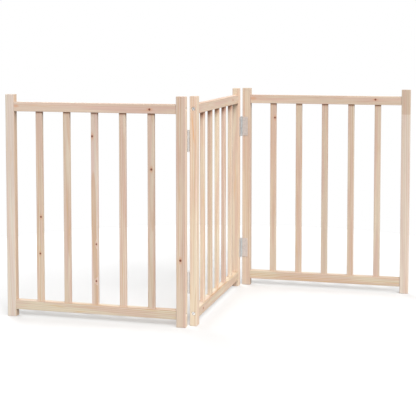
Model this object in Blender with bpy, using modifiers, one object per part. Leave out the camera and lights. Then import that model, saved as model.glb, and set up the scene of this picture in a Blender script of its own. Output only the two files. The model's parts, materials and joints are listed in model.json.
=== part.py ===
"""Folding pet gate: three slatted wooden panels joined by two pairs of steel butt hinges.

The gate stands in a Z plan. The middle panel runs along Y with its front facing +X. The left panel
runs from its near end along -X and the right panel from its far end along +X, and both face -Y.
The origin is the centre of the footprint, on the floor. Metres, +Z up.
"""

import math

import bmesh
import bpy
from mathutils import Matrix, Vector

# Panels
GATE_HEIGHT = 0.600
PANEL_WIDTH = 0.500
POST_WIDTH = 0.025
FRAME_DEPTH = 0.019  # posts and rails are flush on both faces
RAIL_HEIGHT = 0.025
POST_OVERHANG = 0.020  # of a post past the rails, at the top and at the bottom
EDGE_CHAMFER = 0.0012

# Slats
SLAT_COUNT = 5
SLAT_WIDTH = 0.018
SLAT_DEPTH = 0.010
SLAT_HOUSED = 0.010  # length of a slat inside each rail
SLAT_CHAMFER = 0.0010

# Rail screws, with a stepped shank and a flat head in a counterbore
SCREW_LENGTH = 0.050  # under the head
SCREW_HEAD_RADIUS = 0.0047
SCREW_HEAD_HEIGHT = 0.0022
SCREW_NECK_RADIUS = 0.0033
SCREW_NECK_LENGTH = 0.010
SCREW_SHANK_RADIUS = 0.0024
SCREW_POINT_LENGTH = 0.004
SOCKET_ACROSS_FLATS = 0.004
SOCKET_DEPTH = 0.0016
COUNTERBORE_DEPTH = 0.004

# Butt hinges
HINGE_HEIGHT = 0.057
HINGE_END_DISTANCE = 0.115  # from a hinge's centre to the nearer end of the post
LEAF_WIDTH = 0.019  # from the pin's axis to the leaf's free edge
LEAF_THICKNESS = 0.0012
KNUCKLE_COUNT = 5
KNUCKLE_RADIUS = 0.0027
PIN_CLEARANCE = 0.00008  # radial, so that the leaves run on the pin
PIN_HEAD_RADIUS = 0.0021
PIN_HEAD_HEIGHT = 0.0006
PLATE_LAP = 0.0003  # of a leaf's plate past the pin's axis, inside its knuckles
LEAF_HOLE_SPACING = 0.022
LEAF_HOLE_OFFSET = 0.0115  # from the pin's axis to the line of holes
LEAF_HOLE_RADIUS = 0.0017
COUNTERSINK_RADIUS = 0.0030
POST_GAP = 0.004  # between the posts of two panels that stand in line

GAP = 0.0003  # between pieces that rest on each other
ROUND_SIDES = 16

# Sizes that follow from those above
HALF_DEPTH = FRAME_DEPTH / 2
RAIL_LENGTH = PANEL_WIDTH - 2 * POST_WIDTH - 2 * GAP
RAIL_CENTRE = POST_OVERHANG + RAIL_HEIGHT / 2  # from the nearer end of the post
SLAT_LENGTH = GATE_HEIGHT - 2 * (POST_OVERHANG + RAIL_HEIGHT - SLAT_HOUSED)
SLAT_SPACE = (PANEL_WIDTH - 2 * POST_WIDTH - SLAT_COUNT * SLAT_WIDTH) / (SLAT_COUNT + 1)
SLAT_PITCH = SLAT_SPACE + SLAT_WIDTH
PIN_OFFSET = KNUCKLE_RADIUS + GAP  # from the pin's axis to the faces that carry the leaves
PIN_HOLE_RADIUS = KNUCKLE_RADIUS - LEAF_THICKNESS
FOLD_X = HALF_DEPTH + PIN_OFFSET  # from the middle panel's centre to each fold axis
FOLD_Y = PANEL_WIDTH / 2 + POST_GAP / 2
SIDE_X = FOLD_Y  # from a fold axis to the side panel's centre
SIDE_Y = FOLD_X


def clear_scene():
    for obj in list(bpy.data.objects):
        bpy.data.objects.remove(obj, do_unlink=True)


def new_collection(name):
    collection = bpy.data.collections.new(name)
    bpy.context.scene.collection.children.link(collection)
    return collection


def material(name, colour, roughness, metallic):
    made = bpy.data.materials.new(name)
    made.use_nodes = True
    shader = made.node_tree.nodes["Principled BSDF"]
    shader.inputs["Base Color"].default_value = (*colour, 1.0)
    shader.inputs["Roughness"].default_value = roughness
    shader.inputs["Metallic"].default_value = metallic
    made.diffuse_color = (*colour, 1.0)
    return made


def fir(name, shade):
    """Bare planed fir, a little lighter or darker with shade."""
    return material(name, (0.72 * shade, 0.55 * shade, 0.41 * shade), 0.6, 0.0)


def zinc_plate(name):
    return material(name, (0.60, 0.59, 0.58), 0.35, 1.0)


def screw_steel(name):
    return material(name, (0.66, 0.66, 0.66), 0.3, 1.0)


def mesh_object(name, shape, collection):
    """An object made from a bmesh, which it uses up."""
    mesh = bpy.data.meshes.new(name)
    shape.to_mesh(mesh)
    shape.free()
    obj = bpy.data.objects.new(name, mesh)
    collection.objects.link(obj)
    return obj


def block(name, size, centre, collection):
    shape = bmesh.new()
    bmesh.ops.create_cube(shape, size=1.0)
    bmesh.ops.scale(shape, vec=size, verts=shape.verts)
    bmesh.ops.translate(shape, vec=centre, verts=shape.verts)
    return mesh_object(name, shape, collection)


def frustum(name, radii, ends, collection, turn=None, sides=ROUND_SIDES):
    """A cylinder or cone on the Z axis, with its two radii at its two end heights, then turned."""
    shape = bmesh.new()
    lift = Matrix.Translation((0.0, 0.0, sum(ends) / 2))
    bmesh.ops.create_cone(
        shape,
        cap_ends=True,
        segments=sides,
        radius1=radii[0],
        radius2=radii[1],
        depth=ends[1] - ends[0],
        matrix=(turn or Matrix.Identity(4)) @ lift,
    )
    return mesh_object(name, shape, collection)


def turned(name, profile, sides, collection):
    """A solid of revolution about Z. The profile runs down its outer side, as (radius, height)."""
    shape = bmesh.new()
    points = [shape.verts.new((radius, 0.0, height)) for radius, height in profile]
    for upper, lower in zip(points, points[1:]):
        shape.edges.new((upper, lower))
    obj = mesh_object(name, shape, collection)
    lathe = obj.modifiers.new("lathe", "SCREW")
    lathe.steps = sides
    lathe.render_steps = sides
    lathe.use_merge_vertices = True
    lathe.merge_threshold = 0.00001
    return obj


def chamfer(obj, width):
    bevel = obj.modifiers.new("chamfer", "BEVEL")
    bevel.width = width
    bevel.segments = 1
    bevel.limit_method = "ANGLE"


def boolean(obj, operation, tools):
    for tool in tools:
        step = obj.modifiers.new(tool.name, "BOOLEAN")
        step.operation = operation
        step.object = tool
        step.solver = "EXACT"


def finished_mesh(obj, finish):
    """The object's mesh with its modifiers applied. Copies of the piece share it."""
    graph = bpy.context.evaluated_depsgraph_get()
    mesh = bpy.data.meshes.new_from_object(obj.evaluated_get(graph))
    mesh.name = obj.name
    mesh.materials.clear()
    mesh.materials.append(finish)
    mesh.shade_smooth()
    mesh.set_sharp_from_angle(angle=math.radians(30))
    bpy.data.objects.remove(obj)
    return mesh


def post_mesh(cutters):
    """A post on its base's centre, with its outer edge at -X."""
    post = block("post", (POST_WIDTH, FRAME_DEPTH, GATE_HEIGHT), (0, 0, GATE_HEIGHT / 2), cutters)
    chamfer(post, EDGE_CHAMFER)
    outward = Matrix.Rotation(math.radians(-90), 4, "Y")
    seat = POST_WIDTH / 2 - COUNTERBORE_DEPTH
    tools = []
    for end, height in (("bottom", RAIL_CENTRE), ("top", GATE_HEIGHT - RAIL_CENTRE)):
        turn = Matrix.Translation((0, 0, height)) @ outward
        radius = SCREW_HEAD_RADIUS + GAP
        span = (seat, POST_WIDTH)
        tools.append(frustum(f"post_{end}_counterbore", (radius, radius), span, cutters, turn))
        radius = SCREW_NECK_RADIUS + GAP
        span = (-POST_WIDTH, POST_WIDTH)
        tools.append(frustum(f"post_{end}_screw_hole", (radius, radius), span, cutters, turn))
    boolean(post, "DIFFERENCE", tools)
    return finished_mesh(post, fir("post_fir", 1.0))


def rail_mesh(cutters):
    """A rail on its centre, with the slats' mortises in its underside."""
    rail = block("rail", (RAIL_LENGTH, FRAME_DEPTH, RAIL_HEIGHT), (0, 0, 0), cutters)
    chamfer(rail, EDGE_CHAMFER)
    depth = SLAT_HOUSED + GAP
    mortise = (SLAT_WIDTH + 2 * GAP, SLAT_DEPTH + 2 * GAP, 2 * depth)
    tools = []
    for number, x in enumerate(slat_places()):
        centre = (x, 0, -RAIL_HEIGHT / 2)
        tools.append(block(f"rail_mortise_{number + 1}", mortise, centre, cutters))
    hole_depth = SCREW_LENGTH - (POST_WIDTH - COUNTERBORE_DEPTH) + 2 * GAP
    radius = SCREW_SHANK_RADIUS + GAP
    for end, side in (("left", -1), ("right", 1)):
        turn = Matrix.Rotation(side * math.radians(90), 4, "Y")
        span = (RAIL_LENGTH / 2 - hole_depth, RAIL_LENGTH / 2 + hole_depth)
        tools.append(frustum(f"rail_{end}_pilot_hole", (radius, radius), span, cutters, turn))
    boolean(rail, "DIFFERENCE", tools)
    return finished_mesh(rail, fir("rail_fir", 0.97))


def slat_places():
    return [(number - (SLAT_COUNT - 1) / 2) * SLAT_PITCH for number in range(SLAT_COUNT)]


def slat_mesh(cutters):
    slat = block("slat", (SLAT_WIDTH, SLAT_DEPTH, SLAT_LENGTH), (0, 0, 0), cutters)
    chamfer(slat, SLAT_CHAMFER)
    return finished_mesh(slat, fir("slat_fir", 1.02))


def rail_screw_mesh(cutters):
    """A screw that hangs down -Z from the underside of its head."""
    profile = [
        (0.0, SCREW_HEAD_HEIGHT),
        (SCREW_HEAD_RADIUS - SCREW_HEAD_HEIGHT / 4, SCREW_HEAD_HEIGHT),
        (SCREW_HEAD_RADIUS, SCREW_HEAD_HEIGHT * 3 / 4),
        (SCREW_HEAD_RADIUS, 0.0),
        (SCREW_NECK_RADIUS, 0.0),
        (SCREW_NECK_RADIUS, -SCREW_NECK_LENGTH),
        (SCREW_SHANK_RADIUS, -SCREW_NECK_LENGTH - SCREW_SHANK_RADIUS / 2),
        (SCREW_SHANK_RADIUS, SCREW_POINT_LENGTH - SCREW_LENGTH),
        (0.0, -SCREW_LENGTH),
    ]
    screw = turned("rail_screw", profile, 12, cutters)
    radius = SOCKET_ACROSS_FLATS / math.sqrt(3)
    span = (SCREW_HEAD_HEIGHT - SOCKET_DEPTH, SCREW_HEAD_HEIGHT + SOCKET_DEPTH)
    socket = frustum("rail_screw_socket", (radius, radius), span, cutters, sides=6)
    boolean(screw, "DIFFERENCE", [socket])
    return finished_mesh(screw, screw_steel("rail_screw_steel"))


def knuckle_span(number):
    """The lowest and highest point of a knuckle, counted from the bottom of the hinge."""
    pitch = (HINGE_HEIGHT + GAP) / KNUCKLE_COUNT
    low = number * pitch - HINGE_HEIGHT / 2
    return low, low + pitch - GAP


def leaf_mesh(name, own_knuckles, wood_side, cutters):
    """A hinge leaf with its pin's axis on Z. It reaches towards +X, and its back faces wood_side Y."""
    plate_y = wood_side * (KNUCKLE_RADIUS - LEAF_THICKNESS / 2)
    size = (LEAF_WIDTH + PLATE_LAP, LEAF_THICKNESS, HINGE_HEIGHT)
    leaf = block(name, size, ((LEAF_WIDTH - PLATE_LAP) / 2, plate_y, 0), cutters)
    reach = 2 * (KNUCKLE_RADIUS + 2 * GAP)
    knuckles = []
    notches = []
    for number in range(KNUCKLE_COUNT):
        low, high = knuckle_span(number)
        if number in own_knuckles:
            radii = (KNUCKLE_RADIUS, KNUCKLE_RADIUS)
            knuckles.append(frustum(f"{name}_knuckle_{number + 1}", radii, (low, high), cutters))
        else:
            notch = (reach, reach, high - low + 2 * GAP)
            centre = (0, 0, (low + high) / 2)
            notches.append(block(f"{name}_notch_{number + 1}", notch, centre, cutters))
    boolean(leaf, "UNION", knuckles)
    boolean(leaf, "DIFFERENCE", notches)
    radii = (PIN_HOLE_RADIUS, PIN_HOLE_RADIUS)
    pin_hole = frustum(f"{name}_pin_hole", radii, (-HINGE_HEIGHT, HINGE_HEIGHT), cutters)
    boolean(leaf, "DIFFERENCE", [pin_hole, *leaf_screw_holes(name, wood_side, cutters)])
    return finished_mesh(leaf, zinc_plate(f"{name}_zinc"))


def leaf_screw_holes(name, wood_side, cutters):
    """Countersinks that narrow from the leaf's front to its back, drawn a little past both faces."""
    front = KNUCKLE_RADIUS - LEAF_THICKNESS
    slope = (COUNTERSINK_RADIUS - LEAF_HOLE_RADIUS) / LEAF_THICKNESS
    past = LEAF_THICKNESS / 4
    radii = (COUNTERSINK_RADIUS + slope * past, LEAF_HOLE_RADIUS - slope * past)
    span = (front - past, KNUCKLE_RADIUS + past)
    holes = []
    for number in (-1, 0, 1):
        place = Matrix.Translation((LEAF_HOLE_OFFSET, 0, number * LEAF_HOLE_SPACING))
        turn = place @ Matrix.Rotation(-wood_side * math.radians(90), 4, "X")
        holes.append(frustum(f"{name}_screw_hole_{number + 2}", radii, span, cutters, turn))
    return holes


def pin_mesh(cutters):
    """A pin with its two ends riveted over the outer knuckles."""
    radius = PIN_HOLE_RADIUS - PIN_CLEARANCE
    seat = HINGE_HEIGHT / 2 + GAP
    upper = [
        (0.0, seat + PIN_HEAD_HEIGHT),
        (PIN_HEAD_RADIUS * 0.7, seat + PIN_HEAD_HEIGHT * 0.8),
        (PIN_HEAD_RADIUS, seat),
        (radius, seat),
    ]
    lower = [(r, -height) for r, height in reversed(upper)]
    pin = turned("hinge_pin", upper + lower, ROUND_SIDES, cutters)
    return finished_mesh(pin, zinc_plate("hinge_pin_zinc"))


def guide_empty(name, place, collection, parent=None):
    empty = bpy.data.objects.new(name, None)
    empty.empty_display_size = 0.05
    empty.location = place
    empty.parent = parent
    collection.objects.link(empty)
    return empty


def add_piece(name, mesh, parent, place, turn, collection):
    piece = bpy.data.objects.new(name, mesh)
    piece.parent = parent
    piece.location = place
    piece.rotation_euler = turn
    collection.objects.link(piece)


def add_panel(panel, post_names, meshes, parent, centre, collection):
    """One panel. centre is where the middle of its base lies in its parent's frame."""
    post_x = (PANEL_WIDTH - POST_WIDTH) / 2
    seat_x = PANEL_WIDTH / 2 - COUNTERBORE_DEPTH + GAP
    heights = {"bottom": RAIL_CENTRE, "top": GATE_HEIGHT - RAIL_CENTRE}

    def add(name, kind, place, turn=(0, 0, 0)):
        place = Vector(centre) + Vector(place)
        add_piece(f"{panel}_{name}", meshes[kind], parent, place, turn, collection)

    add(post_names[0], "post", (-post_x, 0, 0))
    add(post_names[1], "post", (post_x, 0, 0), (0, 0, math.pi))
    add("top_rail", "rail", (0, 0, heights["top"]))
    add("bottom_rail", "rail", (0, 0, heights["bottom"]), (math.pi, 0, 0))
    for number, x in enumerate(slat_places()):
        add(f"slat_{number + 1}", "slat", (x, 0, GATE_HEIGHT / 2))
    for end, height in heights.items():
        for side, sign in (("left", -1), ("right", 1)):
            place = (sign * seat_x, 0, height)
            add(f"{end}_{side}_rail_screw", "screw", place, (0, sign * math.pi / 2, 0))


def add_hinges(side, meshes, middle, fold_axis, turn, collection):
    """The two hinges of one joint. turn is the angle from +X to the side panel that swings on them."""
    fixed_turn = turn - math.pi / 2
    heights = {"lower": HINGE_END_DISTANCE, "upper": GATE_HEIGHT - HINGE_END_DISTANCE}
    pieces = (
        ("swing_leaf", fold_axis, (0, 0, 0), turn),
        ("fixed_leaf", middle, fold_axis.location, fixed_turn),
        ("pin", middle, fold_axis.location, fixed_turn),
    )
    for level, height in heights.items():
        for kind, parent, axis_place, angle in pieces:
            name = f"{side}_{level}_hinge_{kind}"
            place = Vector(axis_place) + Vector((0, 0, height))
            add_piece(name, meshes[kind], parent, place, (0, 0, angle), collection)


def build():
    clear_scene()
    gate = new_collection("folding_pet_gate")
    cutters = new_collection("cutters")
    meshes = {
        "post": post_mesh(cutters),
        "rail": rail_mesh(cutters),
        "slat": slat_mesh(cutters),
        "screw": rail_screw_mesh(cutters),
        "fixed_leaf": leaf_mesh("fixed_leaf", (0, 2, 4), -1, cutters),
        "swing_leaf": leaf_mesh("swing_leaf", (1, 3), 1, cutters),
        "pin": pin_mesh(cutters),
    }
    for cutter in cutters.objects:
        cutter.hide_render = True
        cutter.display_type = "WIRE"

    middle = guide_empty("middle_panel_base", (0, 0, 0), gate)
    middle_front = guide_empty("middle_panel_front", (0, 0, 0), gate, middle)
    middle_front.rotation_euler.z = math.pi / 2
    left = guide_empty("left_fold_axis", (-FOLD_X, -FOLD_Y, 0), gate)
    right = guide_empty("right_fold_axis", (FOLD_X, FOLD_Y, 0), gate)

    left_centre = (-SIDE_X, -SIDE_Y, 0)
    right_centre = (SIDE_X, SIDE_Y, 0)
    add_panel("left_panel", ("outer_post", "inner_post"), meshes, left, left_centre, gate)
    add_panel("middle_panel", ("left_post", "right_post"), meshes, middle_front, (0, 0, 0), gate)
    add_panel("right_panel", ("inner_post", "outer_post"), meshes, right, right_centre, gate)
    add_hinges("left", meshes, middle, left, math.pi, gate)
    add_hinges("right", meshes, middle, right, 0.0, gate)


build()
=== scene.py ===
"""Looks of the folding pet gate: planed fir, zinc-plated butt hinges and bright screws on a pale floor."""

import json
import math
import random

import bmesh
import bpy
from mathutils import Matrix, Vector


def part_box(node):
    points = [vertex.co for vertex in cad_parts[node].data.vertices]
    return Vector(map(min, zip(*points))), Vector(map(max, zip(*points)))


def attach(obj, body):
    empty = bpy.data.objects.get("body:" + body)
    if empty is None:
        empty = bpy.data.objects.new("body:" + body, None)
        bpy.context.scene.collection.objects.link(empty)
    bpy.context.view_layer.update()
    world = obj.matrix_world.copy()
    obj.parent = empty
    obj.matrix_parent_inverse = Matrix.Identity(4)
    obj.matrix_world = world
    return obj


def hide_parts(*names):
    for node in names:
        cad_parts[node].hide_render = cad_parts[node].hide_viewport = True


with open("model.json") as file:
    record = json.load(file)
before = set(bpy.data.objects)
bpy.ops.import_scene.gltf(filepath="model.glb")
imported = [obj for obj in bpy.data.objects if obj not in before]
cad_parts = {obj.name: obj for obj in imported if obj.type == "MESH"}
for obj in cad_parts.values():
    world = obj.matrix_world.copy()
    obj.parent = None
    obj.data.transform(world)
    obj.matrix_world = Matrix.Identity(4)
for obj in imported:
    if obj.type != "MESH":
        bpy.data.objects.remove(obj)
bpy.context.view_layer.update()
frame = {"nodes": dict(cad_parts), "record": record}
UP = Vector((0, 0, 1))
BODIES = frame["record"]["behaviour"]["bodies"]

# Wood
POST_EDGE_RADIUS = 0.0013
POST_END_RADIUS = 0.0007
RAIL_EDGE_RADIUS = 0.00104
RAIL_END_RADIUS = 0.0002
SLAT_EDGE_RADIUS = 0.0009
SLAT_END_RADIUS = 0.0003
JOINT_GAP = 0.0001
COUNTERBORE_DEPTH = 0.004
COUNTERBORE_RADIUS = 0.0050
COUNTERBORE_LIP = 0.0005
CLEARANCE_HOLE_RADIUS = 0.0036
PILOT_HOLE_RADIUS = 0.0026
PILOT_HOLE_DEPTH = 0.030
SLAT_COUNT = 5

# Rail screws, each from the crown of its head down to its point
SCREW_CROWN_RADIUS = 0.0040
SCREW_CROWN_RISE = 0.0002
SCREW_RIM_RADIUS = 0.0045
SCREW_HEAD_RADIUS = 0.0047
SCREW_HEAD_HEIGHT = 0.0022
SCREW_NECK_RADIUS = 0.0033
SCREW_NECK_LENGTH = 0.010
SCREW_SHANK_RADIUS = 0.0024
SCREW_SHOULDER_LENGTH = 0.0012
SCREW_POINT_LENGTH = 0.004
SCREW_LENGTH = 0.050
SOCKET_RADIUS = 0.0023
SOCKET_DEPTH = 0.0016
SOCKET_MOUTH_RADII = (0.0021, 0.0031)
SOCKET_MOUTH_LENGTH = 0.001

# Hinge leaves and pins
LEAF_THICKNESS = 0.0012
LEAF_CORNER_RADIUS = 0.0016
KNUCKLE_COUNT = 5
KNUCKLE_GAP = 0.0003
NOTCH_GAP = 0.0006
ROLL_GAP = 0.0002
ROLL_TAIL = 0.0022
ROLL_BEVEL = 4
HOLE_PLACES = (-1, 0, 1)
HOLE_SPACING = 0.022
HOLE_OFFSET = 0.0115
HOLE_RADIUS = 0.0017
SINK_RADIUS = 0.0031
PIN_RADIUS = 0.00142
PIN_HEAD_RADIUS = 0.0021
PIN_HEAD_HEIGHT = 0.0006
PIN_CROWN_RADIUS = 0.00189
PIN_CROWN_RISE = 0.0004

# Hinge screws: the crown of the head, then (radius, height) from the head's rim down to the point
HINGE_SCREW_CROWN = (0.0024, 0.0001, 0.0003)
HINGE_SCREW_HEAD = [(0.0029, 0.0), (0.0029, -0.0001), (0.0014, -0.0015)]
HINGE_SCREW_SHANK = [(0.0013, -0.010), (0.0, -0.013)]
HINGE_SCREW_SINK = 0.0001
RECESS_REACH = 0.0017
RECESS_HALF_WIDTH = 0.00032
RECESS_DEPTH = 0.0009
RECESS_TOP = 0.001
RECESS_TAPER = 0.45

# How far a cutter runs past the face that it cuts
PAST = 0.010
LEAF_PAST = 0.0003

# Sides of the round pieces and steps of the arcs
SIDES = 40
SMALL_SIDES = 32
PILOT_HOLE_SIDES = 24
ROLL_STEPS = 36
CORNER_STEPS = 6
ROUND_STEPS = 5

# Edges that turn by more than this many degrees are shaded sharp
SHARP_ANGLE = 30.0

# What each random draw starts from
WOOD_SEED = 100
RAIL_SCREW_SEED = 7
HINGE_SCREW_SEED = 11

# Studio. Each sun has its azimuth, elevation and width in degrees, and its strength
SUNS = {
    "key": (26, 36, 30, 3.0),
    "side": (82, 38, 42, 2.1),
    "back_fill": (222, 30, 42, 2.1),
}
HORIZON_LIGHT = 0.34
ZENITH_LIGHT = 0.45
SKY_TURN = (-0.15, 0.95)
FLOOR_RADIUS = 1.3
FLOOR_SIDES = 96
FLOOR_DROP = 0.0002
FLOOR_TONES = (0.64, 0.64, 0.64, 1.0), (0.66, 0.66, 0.66, 1.0)
FLOOR_BOUNCE_TONE = (0.30, 0.30, 0.30, 1.0)
FLOOR_MOTTLE_SCALE = (3.0, 3.0, 3.0)
FLOOR_ROUGHNESS = 0.9
FLOOR_SPECULAR = 0.1
WHITE = (1.0, 1.0, 1.0, 1.0)
CAMERA_PLACE = (0.7423, -2.9235, 0.7436)
CAMERA_PITCH = -3.83
CAMERA_TURN = 14.68
CAMERA_LENS = 93.48
CAMERA_SHIFT = (-0.0021, -0.2291)


# ---------------------------------------------------------------- shader helpers


def new_material(name):
    material = bpy.data.materials.new(name)
    material.use_nodes = True
    return material, material.node_tree, material.node_tree.nodes["Principled BSDF"]


def put(tree, socket, value):
    """Links value to socket if it is a socket, and otherwise sets it."""
    if isinstance(value, bpy.types.NodeSocket):
        tree.links.new(value, socket)
    else:
        socket.default_value = value


def calc(tree, operation, a, b=0.0, c=0.0):
    node = tree.nodes.new("ShaderNodeMath")
    node.operation = operation
    for socket, value in zip(node.inputs, (a, b, c)):
        put(tree, socket, value)
    return node.outputs[0]


def vector(tree, operation, a, b=(0.0, 0.0, 0.0)):
    node = tree.nodes.new("ShaderNodeVectorMath")
    node.operation = operation
    put(tree, node.inputs[0], a)
    put(tree, node.inputs[1], b)
    scalar = operation in ("LENGTH", "DOT_PRODUCT", "DISTANCE")
    return node.outputs["Value" if scalar else "Vector"]


def sway(tree, base, value, depth):
    """The base, plus depth times how far the value is from its middle."""
    return calc(tree, "MULTIPLY_ADD", calc(tree, "SUBTRACT", value, 0.5), depth, base)


def largest(tree, values):
    found = values[0]
    for value in values[1:]:
        found = calc(tree, "MAXIMUM", found, value)
    return found


def split(tree, value):
    """The three parts of a vector."""
    node = tree.nodes.new("ShaderNodeSeparateXYZ")
    put(tree, node.inputs[0], value)
    return node.outputs[0], node.outputs[1], node.outputs[2]


def attribute(tree, name, kind="GEOMETRY", output="Vector"):
    node = tree.nodes.new("ShaderNodeAttribute")
    node.attribute_name = name
    node.attribute_type = kind
    return node.outputs[output]


def noise(tree, place, stretch, detail=2.0, roughness=0.5):
    node = tree.nodes.new("ShaderNodeTexNoise")
    node.inputs["Scale"].default_value = 1.0
    node.inputs["Detail"].default_value = detail
    node.inputs["Roughness"].default_value = roughness
    put(tree, node.inputs["Vector"], vector(tree, "MULTIPLY", place, stretch))
    return node.outputs["Fac"]


def smooth(tree, value, low, high, out_low=0.0, out_high=1.0):
    node = tree.nodes.new("ShaderNodeMapRange")
    node.interpolation_type = "SMOOTHSTEP"
    for socket, number in zip(node.inputs, (value, low, high, out_low, out_high)):
        put(tree, socket, number)
    return node.outputs[0]


def fade(tree, value, low, high):
    """One up to low, then falling to nothing at high."""
    return smooth(tree, value, low, high, 1.0, 0.0)


def blend(tree, factor, a, b, mode="MIX"):
    node = tree.nodes.new("ShaderNodeMix")
    node.data_type = "RGBA"
    node.blend_type = mode
    put(tree, node.inputs["Factor"], factor)
    put(tree, node.inputs["A"], a)
    put(tree, node.inputs["B"], b)
    return node.outputs["Result"]


def scaled(tree, colour, factor):
    """The colour times a number that changes over the surface."""
    node = tree.nodes.new("ShaderNodeVectorMath")
    node.operation = "SCALE"
    put(tree, node.inputs[0], colour)
    put(tree, node.inputs["Scale"], factor)
    return node.outputs["Vector"]


def bump(tree, shader, height, distance, strength):
    node = tree.nodes.new("ShaderNodeBump")
    node.inputs["Distance"].default_value = distance
    node.inputs["Strength"].default_value = strength
    put(tree, node.inputs["Height"], height)
    put(tree, shader.inputs["Normal"], node.outputs["Normal"])


# ---------------------------------------------------------------- fir

# Colours, as Blender's linear red, green, blue and alpha
EARLYWOOD = (0.606, 0.507, 0.408, 1.0)
LATEWOOD = (0.480, 0.290, 0.165, 1.0)
PINK_CAST = (0.570, 0.418, 0.352, 1.0)
RESIN_CAST = (0.560, 0.350, 0.190, 1.0)
PITCH_COLOUR = (0.590, 0.335, 0.185, 1.0)
KNOT_HALO = (0.560, 0.300, 0.180, 1.0)
KNOT_HEART = (0.130, 0.022, 0.012, 1.0)
SPLICE_TONE = (0.865, 0.80, 0.735, 1.0)
# Painted shade: the tone that darkens and reddens a slat just under its top rail, where the rail shades it
PAINTED_RAIL_SHADE_TONE = (0.72, 0.50, 0.42, 1.0)

# How often each pattern changes in a metre, along the grain and twice across it
WARP_SCALE = (3.0, 22.0, 22.0)
PATCH_SCALE = (1.3, 60.0, 60.0)
STREAK_SCALE = (1.8, 230.0, 230.0)
FINE_SCALE = (22.0, 1700.0, 1700.0)
BLOTCH_SCALE = (3.2, 26.0, 26.0)
HUE_SCALE = (5.0, 85.0, 85.0)
FLAME_SCALE = (13.0, 150.0, 150.0)
PORE_SCALE = (900.0, 1500.0, 1500.0)

# How far from the others the pink hue and the resin's flames are drawn, so that they don't follow them
HUE_OFFSET = (7.0, 3.0, 5.0)
FLAME_OFFSET = (2.0, 9.0, 4.0)

# How far each pattern changes the wood's brightness
STREAK_DEPTH = 0.30
FINE_DEPTH = 0.16
BLOTCH_DEPTH = 0.20

# Growth rings, whose dark part rises slowly over a ring's width and ends sharply. They bend with the warp,
# and they show more strongly in some patches than in others: noise from, to, strength from, to
RING_WIDTH = 0.0042
WARP_DEPTH = 0.006
LATE_RISE = (0.35, 0.93)
LATE_FALL = (0.93, 1.0)
LATE_STRENGTH = (0.35, 0.7, 0.24, 0.88)

# Where in its noise the hue turns from cream to pink, and where and how strongly the resin shows
HUE_TURN = (0.38, 0.62)
FLAME_STRENGTH = (0.58, 0.78, 0.0, 0.55)

# How squarely a surface cuts across the grain where its end grain begins and is full, how bright its pores
# are at their darkest, and how much brighter they get
END_TURN = (0.75, 0.95)
END_LEVEL = 0.76
PORE_DEPTH = 0.25

# How strongly the rings show: on most sticks, on the outer posts and on the bottom rails
FIGURE = 0.85
FAINT_FIGURE = 0.5
BOLD_FIGURE = 1.5

# How far a stick's pith is from its centre, how far it leans, and where in the tree the stick comes from
PITH_DISTANCE = (0.012, 0.045)
PITH_LEAN = 0.018
GRAIN_START = (3.0, 30.0)

# The most knots on one stick, and where each knot's heart, stain and bend in the rings fade out, in units of
# its radius. The stain and the bend are longer along the grain
KNOTS = 3
HEART_EDGE = (0.75, 1.1)
HALO_EDGE = (0.5, 1.9)
BULGE_EDGE = (0.0, 3.2)
KNOT_SQUEEZE = (0.45, 1.0, 0.0)

# How far the rings bend round a knot, in units of its radius, how strong its stain is, and how the fine
# grain flecks its heart: noise from, to, strength from, to
BULGE_DEPTH = 0.5
HALO_STRENGTH = 0.60
HEART_FLECK = (0.2, 0.8, 1.0, 0.8)

# How far from its centre the pitch streak starts to fade and ends, along it and across it
PITCH_ENDS = (0.0156, 0.052)
PITCH_SIDES = (0.00028, 0.0028)
PITCH_STRENGTH = 0.9

# How far out towards a face the painted light and shade of that face start and are full, and half the width
# of a splice's joint
PAINTED_FACE_EDGE = (0.89, 0.97)
SPLICE_JOINT = 0.0006

# A place along a stick that is past both its ends, for the marks that the stick doesn't have
FAR_OFF = 9.0
NO_KNOT = (FAR_OFF, FAR_OFF, 0.001)
NO_PAINTED_RAIL_SHADE = (FAR_OFF, 0.01, 0.0)
NO_PITCH = (FAR_OFF, 0.0, 0.0)

# The wood's finish, and how high its patterns stand: the bump's distance and strength
WOOD_ROUGHNESS = 0.62
FINE_ROUGHNESS = 0.22
LATE_ROUGHNESS = -0.12
WOOD_SPECULAR = 0.30
LATE_HEIGHT = 0.35
STREAK_HEIGHT = 0.6
WOOD_BUMP = (0.00022, 0.45)


def pitch_streak(tree, place):
    """Where a slanting streak of pitch shows: its centre along and across the stick, and its slope."""
    centre, across, slope = split(tree, attribute(tree, "pitch", "OBJECT"))
    x, _, z = split(tree, place)
    run = calc(tree, "SUBTRACT", x, centre)
    level = calc(tree, "SUBTRACT", z, across)
    off = calc(tree, "SUBTRACT", level, calc(tree, "MULTIPLY", run, slope))
    ends = smooth(tree, calc(tree, "ABSOLUTE", run), *PITCH_ENDS, PITCH_STRENGTH, 0.0)
    sides = fade(tree, calc(tree, "ABSOLUTE", off), *PITCH_SIDES)
    return calc(tree, "MULTIPLY", ends, sides)


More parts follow.
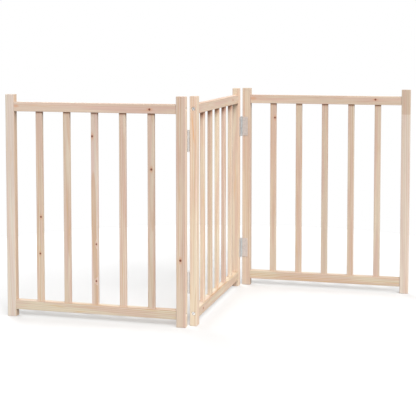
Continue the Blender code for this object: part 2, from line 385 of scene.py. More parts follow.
def knot_marks(tree, place, radius):
    """Bends the rings round each knot, and returns them with where its dark heart and its stain show."""
    hearts = []
    halos = []
    for number in range(1, KNOTS + 1):
        knot = attribute(tree, f"knot_{number}", "OBJECT")
        radius_or_stain = split(tree, knot)[2]
        size = calc(tree, "ABSOLUTE", radius_or_stain)
        away = vector(tree, "SUBTRACT", place, knot)
        edge = vector(tree, "LENGTH", vector(tree, "MULTIPLY", away, (1.0, 1.0, 0.0)))
        edge = calc(tree, "DIVIDE", edge, size)
        reach = vector(tree, "LENGTH", vector(tree, "MULTIPLY", away, KNOT_SQUEEZE))
        reach = calc(tree, "DIVIDE", reach, size)
        bend = calc(tree, "MULTIPLY", size, BULGE_DEPTH)
        radius = calc(tree, "MULTIPLY_ADD", fade(tree, reach, *BULGE_EDGE), bend, radius)
        sound = calc(tree, "GREATER_THAN", radius_or_stain, 0.0)
        hearts.append(calc(tree, "MULTIPLY", fade(tree, edge, *HEART_EDGE), sound))
        halos.append(fade(tree, reach, *HALO_EDGE))
    return radius, largest(tree, hearts), largest(tree, halos)


def late_rings(tree, grain, radius, figure):
    """Where the darker half of each growth ring shows."""
    ring = calc(tree, "FRACT", calc(tree, "DIVIDE", radius, RING_WIDTH))
    late = calc(tree, "MULTIPLY", smooth(tree, ring, *LATE_RISE), fade(tree, ring, *LATE_FALL))
    strength = smooth(tree, noise(tree, grain, PATCH_SCALE, detail=1.0), *LATE_STRENGTH)
    return calc(tree, "MULTIPLY", calc(tree, "MULTIPLY", late, strength), figure)


def end_grain(tree, grain, colour):
    """The colour, darker and porous where the surface cuts across the grain."""
    coords = tree.nodes.new("ShaderNodeTexCoord")
    along = attribute(tree, "along", "OBJECT")
    facing = vector(tree, "DOT_PRODUCT", coords.outputs["Normal"], along)
    end = smooth(tree, calc(tree, "ABSOLUTE", facing), *END_TURN)
    pores = noise(tree, grain, PORE_SCALE, detail=1.0)
    change = calc(tree, "SUBTRACT", calc(tree, "MULTIPLY_ADD", pores, PORE_DEPTH, END_LEVEL), 1.0)
    return scaled(tree, colour, calc(tree, "MULTIPLY_ADD", end, change, 1.0))


def stick_tones(tree, place, colour):
    """The colour with the tones of the stick and of a spliced end, with painted light and shade on one face
    and painted shade under a rail.
    """
    colour = blend(tree, 1.0, colour, attribute(tree, "tone", "OBJECT", "Color"), "MULTIPLY")
    # Painted light and shade on one face of a post: paler where that face is lit, darker where it lies in
    # shade
    outermost = vector(tree, "DOT_PRODUCT", place, attribute(tree, "face", "OBJECT"))
    painted_face_light_and_shade = attribute(tree, "painted_face_light_and_shade", "OBJECT", "Color")
    colour = blend(tree, smooth(tree, outermost, *PAINTED_FACE_EDGE), colour, painted_face_light_and_shade, "MULTIPLY")
    run = split(tree, place)[0]
    past = calc(tree, "SUBTRACT", run, attribute(tree, "splice", "OBJECT", "Fac"))
    spliced = smooth(tree, past, -SPLICE_JOINT, SPLICE_JOINT)
    colour = blend(tree, spliced, colour, SPLICE_TONE, "MULTIPLY")
    # Painted shade under the top rail: darker and redder down to a depth below the rail's underside
    painted_rail_shade, depth, _ = split(tree, attribute(tree, "painted_rail_shade", "OBJECT"))
    below = calc(tree, "DIVIDE", calc(tree, "SUBTRACT", painted_rail_shade, run), depth)
    return blend(tree, fade(tree, below, 0.0, 1.0), colour, PAINTED_RAIL_SHADE_TONE, "MULTIPLY")


def fir_material():
    """Bare planed fir. A piece's grain runs along its own length, round a pith of its own."""
    material, tree, shader = new_material("fir")
    place = attribute(tree, "place")
    grain = attribute(tree, "grain")
    figure = attribute(tree, "figure", "OBJECT", "Fac")

    warp = noise(tree, grain, WARP_SCALE, detail=1.0)
    across = vector(tree, "MULTIPLY", grain, (0.0, 1.0, 1.0))
    radius = calc(tree, "MULTIPLY_ADD", warp, WARP_DEPTH, vector(tree, "LENGTH", across))
    radius, heart, halo = knot_marks(tree, place, radius)
    late = late_rings(tree, grain, radius, figure)

    streak = noise(tree, grain, STREAK_SCALE, detail=3.0, roughness=0.6)
    fine = noise(tree, grain, FINE_SCALE, detail=2.0, roughness=0.6)
    blotch = noise(tree, grain, BLOTCH_SCALE)
    hue = noise(tree, vector(tree, "ADD", grain, HUE_OFFSET), HUE_SCALE)
    flame = noise(tree, vector(tree, "ADD", grain, FLAME_OFFSET), FLAME_SCALE)

    pink = sway(tree, 0.5, smooth(tree, hue, *HUE_TURN), figure)
    colour = blend(tree, pink, EARLYWOOD, PINK_CAST)
    colour = blend(tree, late, colour, LATEWOOD)
    resin = calc(tree, "MULTIPLY", smooth(tree, flame, *FLAME_STRENGTH), figure)
    colour = blend(tree, resin, colour, RESIN_CAST)
    colour = blend(tree, pitch_streak(tree, place), colour, PITCH_COLOUR)
    level = 1.0
    for pattern, depth in ((streak, STREAK_DEPTH), (fine, FINE_DEPTH), (blotch, BLOTCH_DEPTH)):
        level = sway(tree, level, pattern, depth)
    colour = scaled(tree, colour, level)
    colour = blend(tree, calc(tree, "MULTIPLY", halo, HALO_STRENGTH), colour, KNOT_HALO)
    heart_fleck = calc(tree, "MULTIPLY", heart, smooth(tree, fine, *HEART_FLECK))
    colour = blend(tree, heart_fleck, colour, KNOT_HEART)
    colour = end_grain(tree, grain, colour)
    put(tree, shader.inputs["Base Color"], stick_tones(tree, place, colour))

    rough = sway(tree, WOOD_ROUGHNESS, fine, FINE_ROUGHNESS)
    put(tree, shader.inputs["Roughness"], calc(tree, "MULTIPLY_ADD", late, LATE_ROUGHNESS, rough))
    shader.inputs["Specular IOR Level"].default_value = WOOD_SPECULAR
    height = calc(tree, "MULTIPLY_ADD", late, LATE_HEIGHT, fine)
    height = calc(tree, "MULTIPLY_ADD", streak, STREAK_HEIGHT, height)
    bump(tree, shader, height, *WOOD_BUMP)
    return material


# ---------------------------------------------------------------- metal


# Colours of each metal, clean and worn
CLOUDED_ZINC = (0.710, 0.651, 0.620, 1.0), (0.623, 0.573, 0.547, 1.0)
# Painted light: the left hinges' zinc, the same plating made paler where those hinges catch more light
PAINTED_LIGHT_ZINC = (0.725, 0.720, 0.715, 1.0), (0.650, 0.645, 0.640, 1.0)
NICKEL = (0.900, 0.895, 0.890, 1.0), (0.800, 0.795, 0.790, 1.0)

# How often each pattern changes in a metre, across a piece twice and along it
BRUSHING_SCALE = (300.0, 300.0, 5200.0)
CLOUD_SCALE = (210.0, 210.0, 150.0)
SPECK_SCALE = (1500.0, 1500.0, 1500.0)

# Where in its noise the wear begins and is full, and how far each pattern changes the brightness or the
# roughness. The bump is a distance and a strength
WEAR_TURN = (0.35, 0.7)
BRUSHING_DEPTH = 0.12
CLOUD_ROUGHNESS = 0.22
SPECK_ROUGHNESS = 0.10
SPECK_HEIGHT = 0.6
METAL_BUMP = (0.00004, 0.5)
METALLIC = 0.70
ZINC_ROUGHNESS = 0.40
NICKEL_ROUGHNESS = 0.28

# The distance from the pin's axis where a leaf stops being rolled, and the painted shade, darker and bluer,
# on the rolled knuckles
ROLLED_EDGE = (0.0028, 0.0034)
PAINTED_KNUCKLE_SHADE = (0.78, 0.90, 0.96, 1.0)


def metal_material(name, colours, roughness, painted_knuckle_shade=WHITE):
    """Plated steel, faintly brushed and clouded by handling, with painted shade where a leaf is rolled."""
    material, tree, shader = new_material(name)
    place = attribute(tree, "place")
    brushing = noise(tree, place, BRUSHING_SCALE, detail=2.0, roughness=0.6)
    cloud = noise(tree, place, CLOUD_SCALE, detail=3.0)
    speck = noise(tree, place, SPECK_SCALE, detail=1.0)
    tint = blend(tree, smooth(tree, cloud, *WEAR_TURN), *colours)
    from_axis = vector(tree, "LENGTH", vector(tree, "MULTIPLY", place, (1.0, 1.0, 0.0)))
    # Painted shade on the knuckles, round the pin's axis
    tint = blend(tree, fade(tree, from_axis, *ROLLED_EDGE), tint, painted_knuckle_shade, "MULTIPLY")
    tint = scaled(tree, tint, sway(tree, 1.0, brushing, BRUSHING_DEPTH))
    put(tree, shader.inputs["Base Color"], tint)
    shader.inputs["Metallic"].default_value = METALLIC
    rough = sway(tree, roughness, cloud, CLOUD_ROUGHNESS)
    put(tree, shader.inputs["Roughness"], sway(tree, rough, speck, SPECK_ROUGHNESS))
    height = calc(tree, "MULTIPLY_ADD", speck, SPECK_HEIGHT, brushing)
    bump(tree, shader, height, *METAL_BUMP)
    return material


FIR = fir_material()
# The left hinges' plates are a paler copy of the zinc, painted light
HINGE_PLATES = {
    "left": metal_material("zinc_plate_painted_light", PAINTED_LIGHT_ZINC, ZINC_ROUGHNESS),
    "right": metal_material("zinc_plate", CLOUDED_ZINC, ZINC_ROUGHNESS, PAINTED_KNUCKLE_SHADE),
}
HINGE_SCREW = metal_material("hinge_screw_zinc", CLOUDED_ZINC, ZINC_ROUGHNESS)
STEEL = metal_material("screw_steel", NICKEL, NICKEL_ROUGHNESS)


# ---------------------------------------------------------------- mesh helpers


def arc(centre, radius, start, end, steps):
    """Points of an arc in the plane, with its angles in degrees."""
    points = []
    for step in range(steps + 1):
        angle = math.radians(start + (end - start) * step / steps)
        points.append((centre[0] + radius * math.cos(angle), centre[1] + radius * math.sin(angle)))
    return points


def mesh_object(name, shape):
    mesh = bpy.data.meshes.new(name)
    shape.to_mesh(mesh)
    shape.free()
    obj = bpy.data.objects.new(name, mesh)
    bpy.context.scene.collection.objects.link(obj)
    return obj


def add_block(shape, low, high):
    """Adds a box between two corners and returns its corners' vertices."""
    size = Vector(high) - Vector(low)
    centre = (Vector(low) + Vector(high)) / 2
    verts = bmesh.ops.create_cube(shape, size=1.0)["verts"]
    bmesh.ops.scale(shape, vec=size, verts=verts)
    bmesh.ops.translate(shape, vec=centre, verts=verts)
    return verts


def add_rod(shape, start, direction, radii, length, sides=SIDES):
    """Adds a cylinder or cone that runs from start along direction."""
    turn = Vector(direction).to_track_quat("Z", "Y").to_matrix().to_4x4()
    lift = Matrix.Translation((0, 0, length / 2))
    bmesh.ops.create_cone(
        shape,
        cap_ends=True,
        segments=sides,
        radius1=radii[0],
        radius2=radii[1],
        depth=length,
        matrix=Matrix.Translation(start) @ turn @ lift,
    )


def carve(obj, operation, tool_shape):
    """Applies one Boolean with a tool that is then thrown away."""
    tool = mesh_object("tool", tool_shape)
    step = obj.modifiers.new("cut", "BOOLEAN")
    step.operation = operation
    step.solver = "EXACT"
    step.object = tool
    settle(obj)
    bpy.data.meshes.remove(tool.data)


def drill(obj, start, direction, radii, length, sides=SIDES):
    """Cuts a cylinder or cone that runs from start along direction."""
    tool = bmesh.new()
    add_rod(tool, start, direction, radii, length, sides)
    carve(obj, "DIFFERENCE", tool)


def settle(obj):
    """Replaces the object's mesh by the one that its modifiers make."""
    graph = bpy.context.evaluated_depsgraph_get()
    made = bpy.data.meshes.new_from_object(obj.evaluated_get(graph))
    made.name = obj.name
    old = obj.data
    obj.modifiers.clear()
    obj.data = made
    bpy.data.meshes.remove(old)


def clean_normals(obj):
    """Smooth shading that leaves the flat faces flat."""
    obj.data.shade_smooth()
    obj.data.set_sharp_from_angle(angle=math.radians(SHARP_ANGLE))
    weighted = obj.modifiers.new("weighted_normals", "WEIGHTED_NORMAL")
    weighted.keep_sharp = True
    weighted.weight = 100


def vector_layer(obj, name, values):
    layer = obj.data.attributes.new(name, "FLOAT_VECTOR", "POINT")
    layer.data.foreach_set("vector", [number for value in values for number in value])


def hand_over(obj, node, material):
    """The piece stands for a CAD node and takes its body."""
    obj.data.materials.clear()
    obj.data.materials.append(material)
    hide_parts(node)
    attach(obj, body_of(node))


def body_of(node):
    return next(body for body, nodes in BODIES.items() if node in nodes)


def plate_of(node):
    return HINGE_PLATES[node.split("_")[0]]


# ---------------------------------------------------------------- wooden pieces


def rounded_outline(half_u, half_v, radius):
    """A rectangle with rounded corners, anticlockwise."""
    u, v = half_u - radius, half_v - radius
    outline = []
    for corner, start in (((u, v), 0), ((-u, v), 90), ((-u, -v), 180), ((u, -v), 270)):
        outline += arc(corner, radius, start, start + 90, ROUND_STEPS)
    return outline


def round_box(name, low, high, along, edge, end_edge):
    """A squared stick with rounded long edges and lightly eased ends."""
    centre = (low + high) / 2
    half = (high - low) / 2
    axis_u, axis_v = (along + 1) % 3, (along + 2) % 3
    layers = []
    for turn in (0, 45, 90):
        inset = end_edge * (1 - math.sin(math.radians(turn)))
        layers.append((end_edge * (1 - math.cos(math.radians(turn))) - half[along], inset))
    layers += [(-height, inset) for height, inset in reversed(layers)]
    shape = bmesh.new()
    rings = []
    for height, inset in layers:
        ring = []
        for u, v in rounded_outline(half[axis_u] - inset, half[axis_v] - inset, edge - inset):
            place = Vector(centre)
            place[axis_u] += u
            place[axis_v] += v
            place[along] += height
            ring.append(shape.verts.new(place))
        rings.append(ring)
    shape.faces.new(list(reversed(rings[0])))
    shape.faces.new(rings[-1])
    for lower, upper in zip(rings, rings[1:]):
        for step in range(len(lower)):
            after = (step + 1) % len(lower)
            shape.faces.new((lower[step], lower[after], upper[after], upper[step]))
    return mesh_object(name, shape)


def dress_wood(obj, node, along, tone, knots, seed, figure=FIGURE, splice=FAR_OFF, painted_rail_shade=NO_PAINTED_RAIL_SHADE):
    """Gives a stick its grain, its tone and its knots. A knot is (length part, width part, radius), and a
    negative radius leaves only its stain."""
    low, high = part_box(node)
    size = high - low
    centre = (low + high) / 2
    wide = max((axis for axis in range(3) if axis != along), key=lambda axis: size[axis])
    deep = 3 - along - wide
    draw = random.Random(seed)
    angle = draw.uniform(0, 2 * math.pi)
    pith = draw.uniform(*PITH_DISTANCE)
    lean = [draw.uniform(-PITH_LEAN, PITH_LEAN) for _ in range(2)]
    start = draw.uniform(*GRAIN_START)
    places = []
    grains = []
    for vert in obj.data.vertices:
        away = vert.co - centre
        place = Vector((away[along], away[wide], away[deep]))
        places.append(place)
        v = place.y + pith * math.cos(angle) + lean[0] * place.x
        w = place.z + pith * math.sin(angle) + lean[1] * place.x
        grains.append((place.x + start, v, w))
    vector_layer(obj, "place", places)
    vector_layer(obj, "grain", grains)
    axis = [0.0, 0.0, 0.0]
    axis[along] = 1.0
    obj["along"] = axis
    obj["tone"] = list(tone)
    obj["splice"] = splice
    obj["figure"] = figure
    # Where the painted shade under a top rail begins and how far down it runs
    obj["painted_rail_shade"] = list(painted_rail_shade)
    obj["pitch"] = list(PITCH_STREAKS.get(node, NO_PITCH))
    # Which face has painted light and shade, and its tone
    facing, painted_face_light_and_shade = PAINTED_FACE_LIGHT_AND_SHADE.get(node, NO_PAINTED_FACE_LIGHT)
    obj["face"] = [2 * facing[part] / size[part] for part in (along, wide, deep)]
    obj["painted_face_light_and_shade"] = list(painted_face_light_and_shade)
    for number in range(KNOTS):
        spot = NO_KNOT
        if number < len(knots):
            length_part, width_part, radius = knots[number]
            spot = (length_part * size[along], width_part * size[wide], radius)
        obj[f"knot_{number + 1}"] = list(spot)
    clean_normals(obj)
    hand_over(obj, node, FIR)


def make_post(panel, name, outward, tone, knots, seed):
    """A post with a counterbore and a hole for each rail screw, in the face that outward points out of."""
    node = f"{panel}_{name}"
    low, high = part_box(node)
    post = round_box(f"{node}_fir", low, high, 2, POST_EDGE_RADIUS, POST_END_RADIUS)
    outward = Vector(outward)
    reach = abs((high - low).dot(outward))
    for rail in ("top_rail", "bottom_rail"):
        rail_low, rail_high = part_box(f"{panel}_{rail}")
        centre = (low + high) / 2
        centre.z = (rail_low.z + rail_high.z) / 2
        mouth = centre + outward * reach / 2
        wide, depth, lip, hole = COUNTERBORE_RADIUS, COUNTERBORE_DEPTH, COUNTERBORE_LIP, CLEARANCE_HOLE_RADIUS
        drill(post, mouth - outward * depth, outward, (wide, wide), 2 * depth)
        drill(post, mouth - outward * lip, outward, (wide, wide + 2 * lip), 2 * lip)
        drill(post, mouth - outward * 1.5 * reach, outward, (hole, hole), 2 * reach)
    splice = (high - low).z / 2 - SPLICES[node] if node in SPLICES else FAR_OFF
    figure = FAINT_FIGURE if name == "outer_post" else FIGURE
    dress_wood(post, node, 2, tone, knots, seed, figure, splice)


def make_rail(panel, name, along, tone, knots, seed):
    """A rail with a mortise for each slat and a pilot hole in each end."""
    node = f"{panel}_{name}"
    low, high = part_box(node)
    rail = round_box(f"{node}_fir", low, high, along, RAIL_EDGE_RADIUS, RAIL_END_RADIUS)
    gap = Vector((JOINT_GAP, JOINT_GAP, JOINT_GAP))
    tool = bmesh.new()
    for number in range(1, SLAT_COUNT + 1):
        slat_low, slat_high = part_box(f"{panel}_slat_{number}")
        add_block(tool, slat_low - gap, slat_high + gap)
    carve(rail, "DIFFERENCE", tool)
    axis = Vector((0, 0, 0))
    axis[along] = 1.0
    centre = (low + high) / 2
    radii = (PILOT_HOLE_RADIUS, PILOT_HOLE_RADIUS)
    for outward in (-axis, axis):
        bottom = centre + outward * ((high - low)[along] / 2 - PILOT_HOLE_DEPTH)
        drill(rail, bottom, outward, radii, PILOT_HOLE_DEPTH + PAST, PILOT_HOLE_SIDES)
    figure = BOLD_FIGURE if name == "bottom_rail" else FIGURE
    dress_wood(rail, node, along, tone, knots, seed, figure)


def make_slat(panel, number, tone, knots, seed):
    """A slat, with painted shade that darkens and reddens it just under the top rail."""
    node = f"{panel}_slat_{number}"
    low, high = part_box(node)
    slat = round_box(f"{node}_fir", low, high, 2, SLAT_EDGE_RADIUS, SLAT_END_RADIUS)
    rail_low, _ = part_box(f"{panel}_top_rail")
    painted_rail_shade = (rail_low.z - (low + high).z / 2, PAINTED_RAIL_SHADE_DEPTHS[panel], 0.0)
    dress_wood(slat, node, 2, tone, knots, seed, painted_rail_shade=painted_rail_shade)


# A slanting streak of pitch: its centre along and across the stick, and its slope
PITCH_STREAKS = {"middle_panel_left_post": (0.214, 0.0, -0.092)}

# The length of the browner piece that is spliced on at a post's top
SPLICES = {"right_panel_outer_post": 0.072}

# How far down its slats each panel's top rail has painted shade, darker and redder
PAINTED_RAIL_SHADE_DEPTHS = {"left_panel": 0.008, "middle_panel": 0.026, "right_panel": 0.008}

# Tones that the fir's colour is multiplied by
PLAIN = (1.0, 1.0, 1.0)
PALE = (1.03, 1.13, 1.18)
CREAM = (1.01, 1.07, 1.11)
LIGHT = (1.09, 1.12, 1.07)
COOL = (1.00, 1.02, 1.05)
WARM = (0.99, 0.955, 0.95)
GOLDEN = (0.97, 0.98, 0.92)
ROSY = (0.96, 0.945, 0.93)
MUTED = (0.97, 1.02, 0.98)
TAN = (0.95, 0.955, 0.93)
DEEP = (0.90, 0.905, 0.88)

# A post's face with painted light and shade: browner on a face that lies in shade, paler on a face that is
# lit. The way it faces, and its tone
NO_PAINTED_FACE_LIGHT = ((0.0, 0.0, 0.0), PLAIN)
PAINTED_FACE_LIGHT_AND_SHADE = {
    "left_panel_outer_post": ((1.0, 0.0, 0.0), (0.89, 0.79, 0.69)),
    "left_panel_inner_post": ((1.0, 0.0, 0.0), (1.05, 1.09, 1.09)),
    "middle_panel_right_post": ((0.0, -1.0, 0.0), (0.96, 0.94, 0.94)),
}

# Each panel: the axis along its rails, then its pieces' tones and knots, and where each post faces outward
PANELS = {
    "left_panel": {
        "along": 0,
        "posts": {
            "outer_post": ((-1, 0, 0), PALE, ()),
            "inner_post": ((1, 0, 0), ROSY, ((-0.207, -0.04, 0.0034),)),
        },
        "top_rail": (WARM, ((0.343, -0.07, 0.0031), (-0.49, 0.08, -0.0032))),
        "bottom_rail": (MUTED, ()),
        "slats": (
            (TAN, ((-0.051, 0.20, 0.0027), (-0.238, 0.05, 0.0027))),
            (TAN, ()),
            (COOL, ((0.363, -0.30, 0.0031), (-0.176, 0.26, 0.0025), (-0.362, 0.22, 0.0027))),
            (PLAIN, ()),
            (DEEP, ((0.207, 0.08, 0.0032),)),
        ),
    },
    "middle_panel": {
        "along": 1,
        "posts": {
            "left_post": ((0, -1, 0), LIGHT, ()),
            "right_post": ((0, 1, 0), LIGHT, ()),
        },
        "top_rail": (ROSY, ((0.34, 0.05, 0.0027),)),
        "bottom_rail": (MUTED, ((-0.41, 0.0, 0.0032),)),
        "slats": (
            (LIGHT, ()),
            (GOLDEN, ()),
            (LIGHT, ()),
            (PLAIN, ()),
            (LIGHT, ()),
        ),
    },
    "right_panel": {
        "along": 0,
        "posts": {
            "inner_post": ((-1, 0, 0), TAN, ()),
            "outer_post": ((1, 0, 0), CREAM, ()),
        },
        "top_rail": (ROSY, ((0.332, 0.12, 0.0031), (-0.485, 0.08, -0.0038))),
        "bottom_rail": (MUTED, ()),
        "slats": (
            (TAN, ((0.40, 0.30, 0.0032),)),
            (TAN, ()),
            (DEEP, ()),
            (TAN, ()),
            (TAN, ()),
        ),
    },
}


def make_panels():
    seed = WOOD_SEED
    for panel, design in PANELS.items():
        for name, (outward, tone, knots) in design["posts"].items():
            seed += 1
            make_post(panel, name, outward, tone, knots, seed)
        for name in ("top_rail", "bottom_rail"):
            seed += 1
            make_rail(panel, name, design["along"], *design[name], seed)
        for number, (tone, knots) in enumerate(design["slats"], start=1):
            seed += 1
            make_slat(panel, number, tone, knots, seed)


# ---------------------------------------------------------------- screws


def lathe(shape, profile, sides=SIDES):
    """Adds a solid of revolution about Z. The profile is (radius, height), from top to bottom."""
    rings = []
    for radius, height in profile:
        if radius == 0.0:
            rings.append([shape.verts.new((0, 0, height))])
            continue
        angles = [2 * math.pi * step / sides for step in range(sides)]
        ring = [shape.verts.new((radius * math.cos(a), radius * math.sin(a), height)) for a in angles]
        rings.append(ring)
    for upper, lower in zip(rings, rings[1:]):
        for step in range(sides):
            following = (step + 1) % sides
            corners = [
                upper[step % len(upper)],
                lower[step % len(lower)],
                lower[following % len(lower)],
                upper[following % len(upper)],
            ]
            shape.faces.new(list(dict.fromkeys(corners)))


def dome(radius, height, rise, steps=4):
    """Profile points of a low crowned top that ends at radius and height."""
    points = []
    for step in range(steps + 1):
        part = step / steps
        points.append((radius * part, height + rise * (1 - part * part)))
    return points


def rail_screw_master():
    """Head up, with the underside of the head at the origin and a hex socket in the head."""
    head, neck, shank = SCREW_HEAD_RADIUS, SCREW_NECK_RADIUS, SCREW_SHANK_RADIUS
    top, rise = SCREW_HEAD_HEIGHT, SCREW_CROWN_RISE
    shoulder = -SCREW_NECK_LENGTH - SCREW_SHOULDER_LENGTH
    profile = dome(SCREW_CROWN_RADIUS, top - rise, rise)
    profile += [(SCREW_RIM_RADIUS, top - 2 * rise), (head, top - 4 * rise), (head, 0.0), (neck, 0.0)]
    profile += [(neck, -SCREW_NECK_LENGTH), (shank, shoulder)]
    profile += [(shank, SCREW_POINT_LENGTH - SCREW_LENGTH), (0.0, -SCREW_LENGTH)]
    shape = bmesh.new()
    lathe(shape, profile)
    screw = mesh_object("rail_screw_master", shape)
    radii = (SOCKET_RADIUS, SOCKET_RADIUS)
    drill(screw, (0, 0, top - SOCKET_DEPTH), UP, radii, SOCKET_DEPTH + PAST, sides=6)
    drill(screw, (0, 0, top - rise), UP, SOCKET_MOUTH_RADII, SOCKET_MOUTH_LENGTH)
    return screw


def hinge_screw_master():
    """A countersunk screw with a cross recess. The rim of its head is at the origin."""
    shape = bmesh.new()
    profile = dome(*HINGE_SCREW_CROWN) + HINGE_SCREW_HEAD + HINGE_SCREW_SHANK
    lathe(shape, profile, sides=SMALL_SIDES)
    screw = mesh_object("hinge_screw_master", shape)
    for x, y in ((RECESS_REACH, RECESS_HALF_WIDTH), (RECESS_HALF_WIDTH, RECESS_REACH)):
        tool = bmesh.new()
        verts = add_block(tool, (-x, -y, -RECESS_DEPTH), (x, y, RECESS_TOP))
        for vert in verts:
            if vert.co.z < 0:
                vert.co.x *= RECESS_TAPER
                vert.co.y *= RECESS_TAPER
        carve(screw, "DIFFERENCE", tool)
    return screw


def placed_copy(master, name, place, outward, spin):
    """A copy of a master, moved to its place in the gate with the master's +Z along outward."""
    turn = Vector(outward).to_track_quat("Z", "Y").to_matrix().to_4x4()
    matrix = Matrix.Translation(place) @ turn @ Matrix.Rotation(spin, 4, "Z")
    mesh = master.data.copy()
    mesh.name = name
    copy = bpy.data.objects.new(name, mesh)
    bpy.context.scene.collection.objects.link(copy)
    vector_layer(copy, "place", [tuple(vert.co) for vert in mesh.vertices])
    mesh.transform(matrix)
    clean_normals(copy)
    return copy


def make_rail_screws():
    master = rail_screw_master()
    draw = random.Random(RAIL_SCREW_SEED)
    for node in frame["nodes"]:
        if not node.endswith("_rail_screw"):
            continue
        low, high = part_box(node)
        panel = node[: node.index("_panel") + len("_panel")]
        axis = PANELS[panel]["along"]
        sign = -1 if "_left_" in node else 1
        outward = Vector((0, 0, 0))
        outward[axis] = sign
        centre = (low + high) / 2
        seat = centre + outward * ((high - low)[axis] / 2 - SCREW_HEAD_HEIGHT)
        screw = placed_copy(master, f"{node}_bright", seat, outward, draw.uniform(0, 1))
        hand_over(screw, node, STEEL)
    bpy.data.objects.remove(master)


# ---------------------------------------------------------------- hinges


def extruded(shape, outline, low, high):
    """Adds a prism on an outline in the XY plane, between two heights."""
    bottom = [shape.verts.new((x, y, low)) for x, y in outline]
    top = [shape.verts.new((x, y, high)) for x, y in outline]
    shape.faces.new(list(reversed(bottom)))
    shape.faces.new(top)
    for step in range(len(outline)):
        following = (step + 1) % len(outline)
        shape.faces.new((bottom[step], bottom[following], top[following], top[step]))


def plate_shape(radius, width, height):
    """The leaf's plate behind its notches, with its two outer corners rounded off."""
    shape = bmesh.new()
    start = radius + NOTCH_GAP
    corner = LEAF_CORNER_RADIUS
    outline = [(start, -height / 2)]
    outline += arc((width - corner, corner - height / 2), corner, -90, 0, CORNER_STEPS)
    outline += arc((width - corner, height / 2 - corner), corner, 0, 90, CORNER_STEPS)
    outline += [(start, height / 2)]
    extruded(shape, outline, radius - LEAF_THICKNESS, radius)
    upright = Matrix.Rotation(math.radians(90), 3, "X")
    bmesh.ops.rotate(shape, cent=(0, 0, 0), matrix=upright, verts=shape.verts)
    bmesh.ops.scale(shape, vec=(1, -1, 1), verts=shape.verts)
    bmesh.ops.recalc_face_normals(shape, faces=shape.faces)
    return shape


def knuckle_outline(radius):
    """A strip that leaves the plate, rolls round the pin and stops just short of the plate again."""
    inner = radius - LEAF_THICKNESS
    tail = radius + ROLL_TAIL
    end = 360 + math.degrees(math.asin((inner - ROLL_GAP) / radius))
    outline = [(tail, inner), (tail, radius)]
    outline += arc((0, 0), radius, 90, end, ROLL_STEPS)
    outline += arc((0, 0), inner, end - ROLL_BEVEL, 90, ROLL_STEPS)
    return outline


def make_leaf(node, pin_node, reach, back, own_knuckles):
    """A stamped and rolled hinge leaf, drawn with its reach along X and its back towards +Y, then placed."""
    low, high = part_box(node)
    pin_low, pin_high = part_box(pin_node)
    axis = (pin_low + pin_high) / 2
    radius = min((high - low).x, (high - low).y) / 2
    width = max((high - low).x, (high - low).y) - radius
    height = high.z - low.z
    leaf = mesh_object(f"{node}_plated", plate_shape(radius, width, height))
    pitch = (height + KNUCKLE_GAP) / KNUCKLE_COUNT
    for number in own_knuckles:
        bottom = number * pitch - height / 2
        tool = bmesh.new()
        extruded(tool, knuckle_outline(radius), bottom, bottom + pitch - KNUCKLE_GAP)
        bmesh.ops.recalc_face_normals(tool, faces=tool.faces)
        carve(leaf, "UNION", tool)
    front = radius - LEAF_THICKNESS
    widening = (SINK_RADIUS - HOLE_RADIUS) / LEAF_THICKNESS * LEAF_PAST
    radii = (SINK_RADIUS + widening, HOLE_RADIUS - widening)
    for number in HOLE_PLACES:
        start = (HOLE_OFFSET, front - LEAF_PAST, number * HOLE_SPACING)
        drill(leaf, start, (0, 1, 0), radii, LEAF_THICKNESS + 2 * LEAF_PAST, SMALL_SIDES)
    vector_layer(leaf, "place", [tuple(vert.co) for vert in leaf.data.vertices])
    turn = Matrix((reach, back, UP)).transposed().to_4x4()
    leaf.data.transform(Matrix.Translation(axis) @ turn)
    if turn.determinant() < 0:
        leaf.data.flip_normals()
    clean_normals(leaf)
    hand_over(leaf, node, plate_of(node))
    return axis, front


def make_pin(node):
    """A pin with a low dome riveted over each end."""
    low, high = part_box(node)
    half = (high.z - low.z) / 2
    neck = half - PIN_HEAD_HEIGHT
    top = dome(PIN_CROWN_RADIUS, half - PIN_CROWN_RISE, PIN_CROWN_RISE)
    top += [(PIN_HEAD_RADIUS, neck), (PIN_RADIUS, neck)]
    profile = top + [(radius, -height) for radius, height in reversed(top)]
    shape = bmesh.new()
    lathe(shape, profile, sides=SMALL_SIDES)
    pin = mesh_object(f"{node}_plated", shape)
    vector_layer(pin, "place", [tuple(vert.co) for vert in pin.data.vertices])
    pin.data.transform(Matrix.Translation((low + high) / 2))
    clean_normals(pin)
    hand_over(pin, node, plate_of(node))


def make_hinge_screws(master, leaf, axis, reach, back, front, draw):
    """The three screws of a leaf, which ride with it."""
    for number in HOLE_PLACES:
        place = axis + reach * HOLE_OFFSET + back * (front + HINGE_SCREW_SINK) + UP * number * HOLE_SPACING
        name = f"{leaf}_screw_{number + 2}"
        screw = placed_copy(master, name, place, -back, draw.uniform(0, math.pi))
        screw.data.materials.clear()
        screw.data.materials.append(HINGE_SCREW)
        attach(screw, body_of(leaf))


def make_hinges():
    master = hinge_screw_master()
    draw = random.Random(HINGE_SCREW_SEED)
    for side, sign in (("left", -1), ("right", 1)):
        along = Vector((sign, 0, 0))
        across = Vector((0, sign, 0))
        for level in ("upper", "lower"):
            hinge = f"{side}_{level}_hinge"
            pin = f"{hinge}_pin"
            leaves = (
                (f"{hinge}_swing_leaf", along, across, (1, 3)),
                (f"{hinge}_fixed_leaf", -across, -along, (0, 2, 4)),
            )
            for leaf, reach, back, knuckles in leaves:
                axis, front = make_leaf(leaf, pin, reach, back, knuckles)
                make_hinge_screws(master, leaf, axis, reach, back, front, draw)
            make_pin(pin)
    bpy.data.objects.remove(master)


# ---------------------------------------------------------------- stage


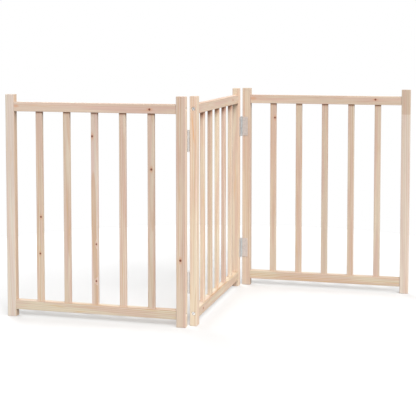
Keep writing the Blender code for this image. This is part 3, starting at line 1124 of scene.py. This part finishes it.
def make_floor():
    shape = bmesh.new()
    bmesh.ops.create_circle(shape, cap_ends=True, segments=FLOOR_SIDES, radius=FLOOR_RADIUS)
    floor = mesh_object("floor", shape)
    floor.location.z = -FLOOR_DROP
    material, tree, shader = new_material("pale_floor")
    coords = tree.nodes.new("ShaderNodeTexCoord")
    mottle = noise(tree, coords.outputs["Object"], FLOOR_MOTTLE_SCALE, detail=3.0)
    pale = blend(tree, mottle, *FLOOR_TONES)
    path = tree.nodes.new("ShaderNodeLightPath")
    pale = blend(tree, path.outputs["Is Diffuse Ray"], pale, FLOOR_BOUNCE_TONE)
    put(tree, shader.inputs["Base Color"], pale)
    shader.inputs["Roughness"].default_value = FLOOR_ROUGHNESS
    shader.inputs["Specular IOR Level"].default_value = FLOOR_SPECULAR
    floor.data.materials.append(material)


def soft_sun(name, azimuth, elevation, width, strength):
    """A broad distant light. Azimuth runs from -Y towards +X."""
    data = bpy.data.lights.new(name, "SUN")
    data.angle = math.radians(width)
    data.energy = strength
    light = bpy.data.objects.new(name, data)
    light.rotation_euler = (math.radians(90 - elevation), 0, math.radians(azimuth))
    bpy.context.scene.collection.objects.link(light)


def make_world():
    """A white backdrop that lights the gate mostly from above."""
    world = bpy.data.worlds.new("studio")
    world.use_nodes = True
    tree = world.node_tree
    coords = tree.nodes.new("ShaderNodeTexCoord")
    height = split(tree, coords.outputs["Generated"])[2]
    level = smooth(tree, height, *SKY_TURN, HORIZON_LIGHT, ZENITH_LIGHT)
    path = tree.nodes.new("ShaderNodeLightPath")
    level = calc(tree, "MAXIMUM", level, path.outputs["Is Camera Ray"])
    put(tree, tree.nodes["Background"].inputs["Strength"], level)
    tree.nodes["Background"].inputs["Color"].default_value = WHITE
    bpy.context.scene.world = world


def make_lights():
    make_world()
    for name, settings in SUNS.items():
        soft_sun(name, *settings)
    bpy.context.scene.view_settings.view_transform = "Standard"


def make_camera():
    """Nearly level, from the right of the middle and above the gate's top edge."""
    data = bpy.data.cameras.new("camera")
    data.sensor_width = 36.0
    data.lens = CAMERA_LENS
    data.shift_x, data.shift_y = CAMERA_SHIFT
    camera = bpy.data.objects.new("camera", data)
    camera.location = CAMERA_PLACE
    camera.rotation_euler = (math.radians(90 + CAMERA_PITCH), 0, math.radians(CAMERA_TURN))
    bpy.context.scene.collection.objects.link(camera)
    bpy.context.scene.camera = camera


make_camera()
make_lights()
make_floor()
make_panels()
make_rail_screws()
make_hinges()
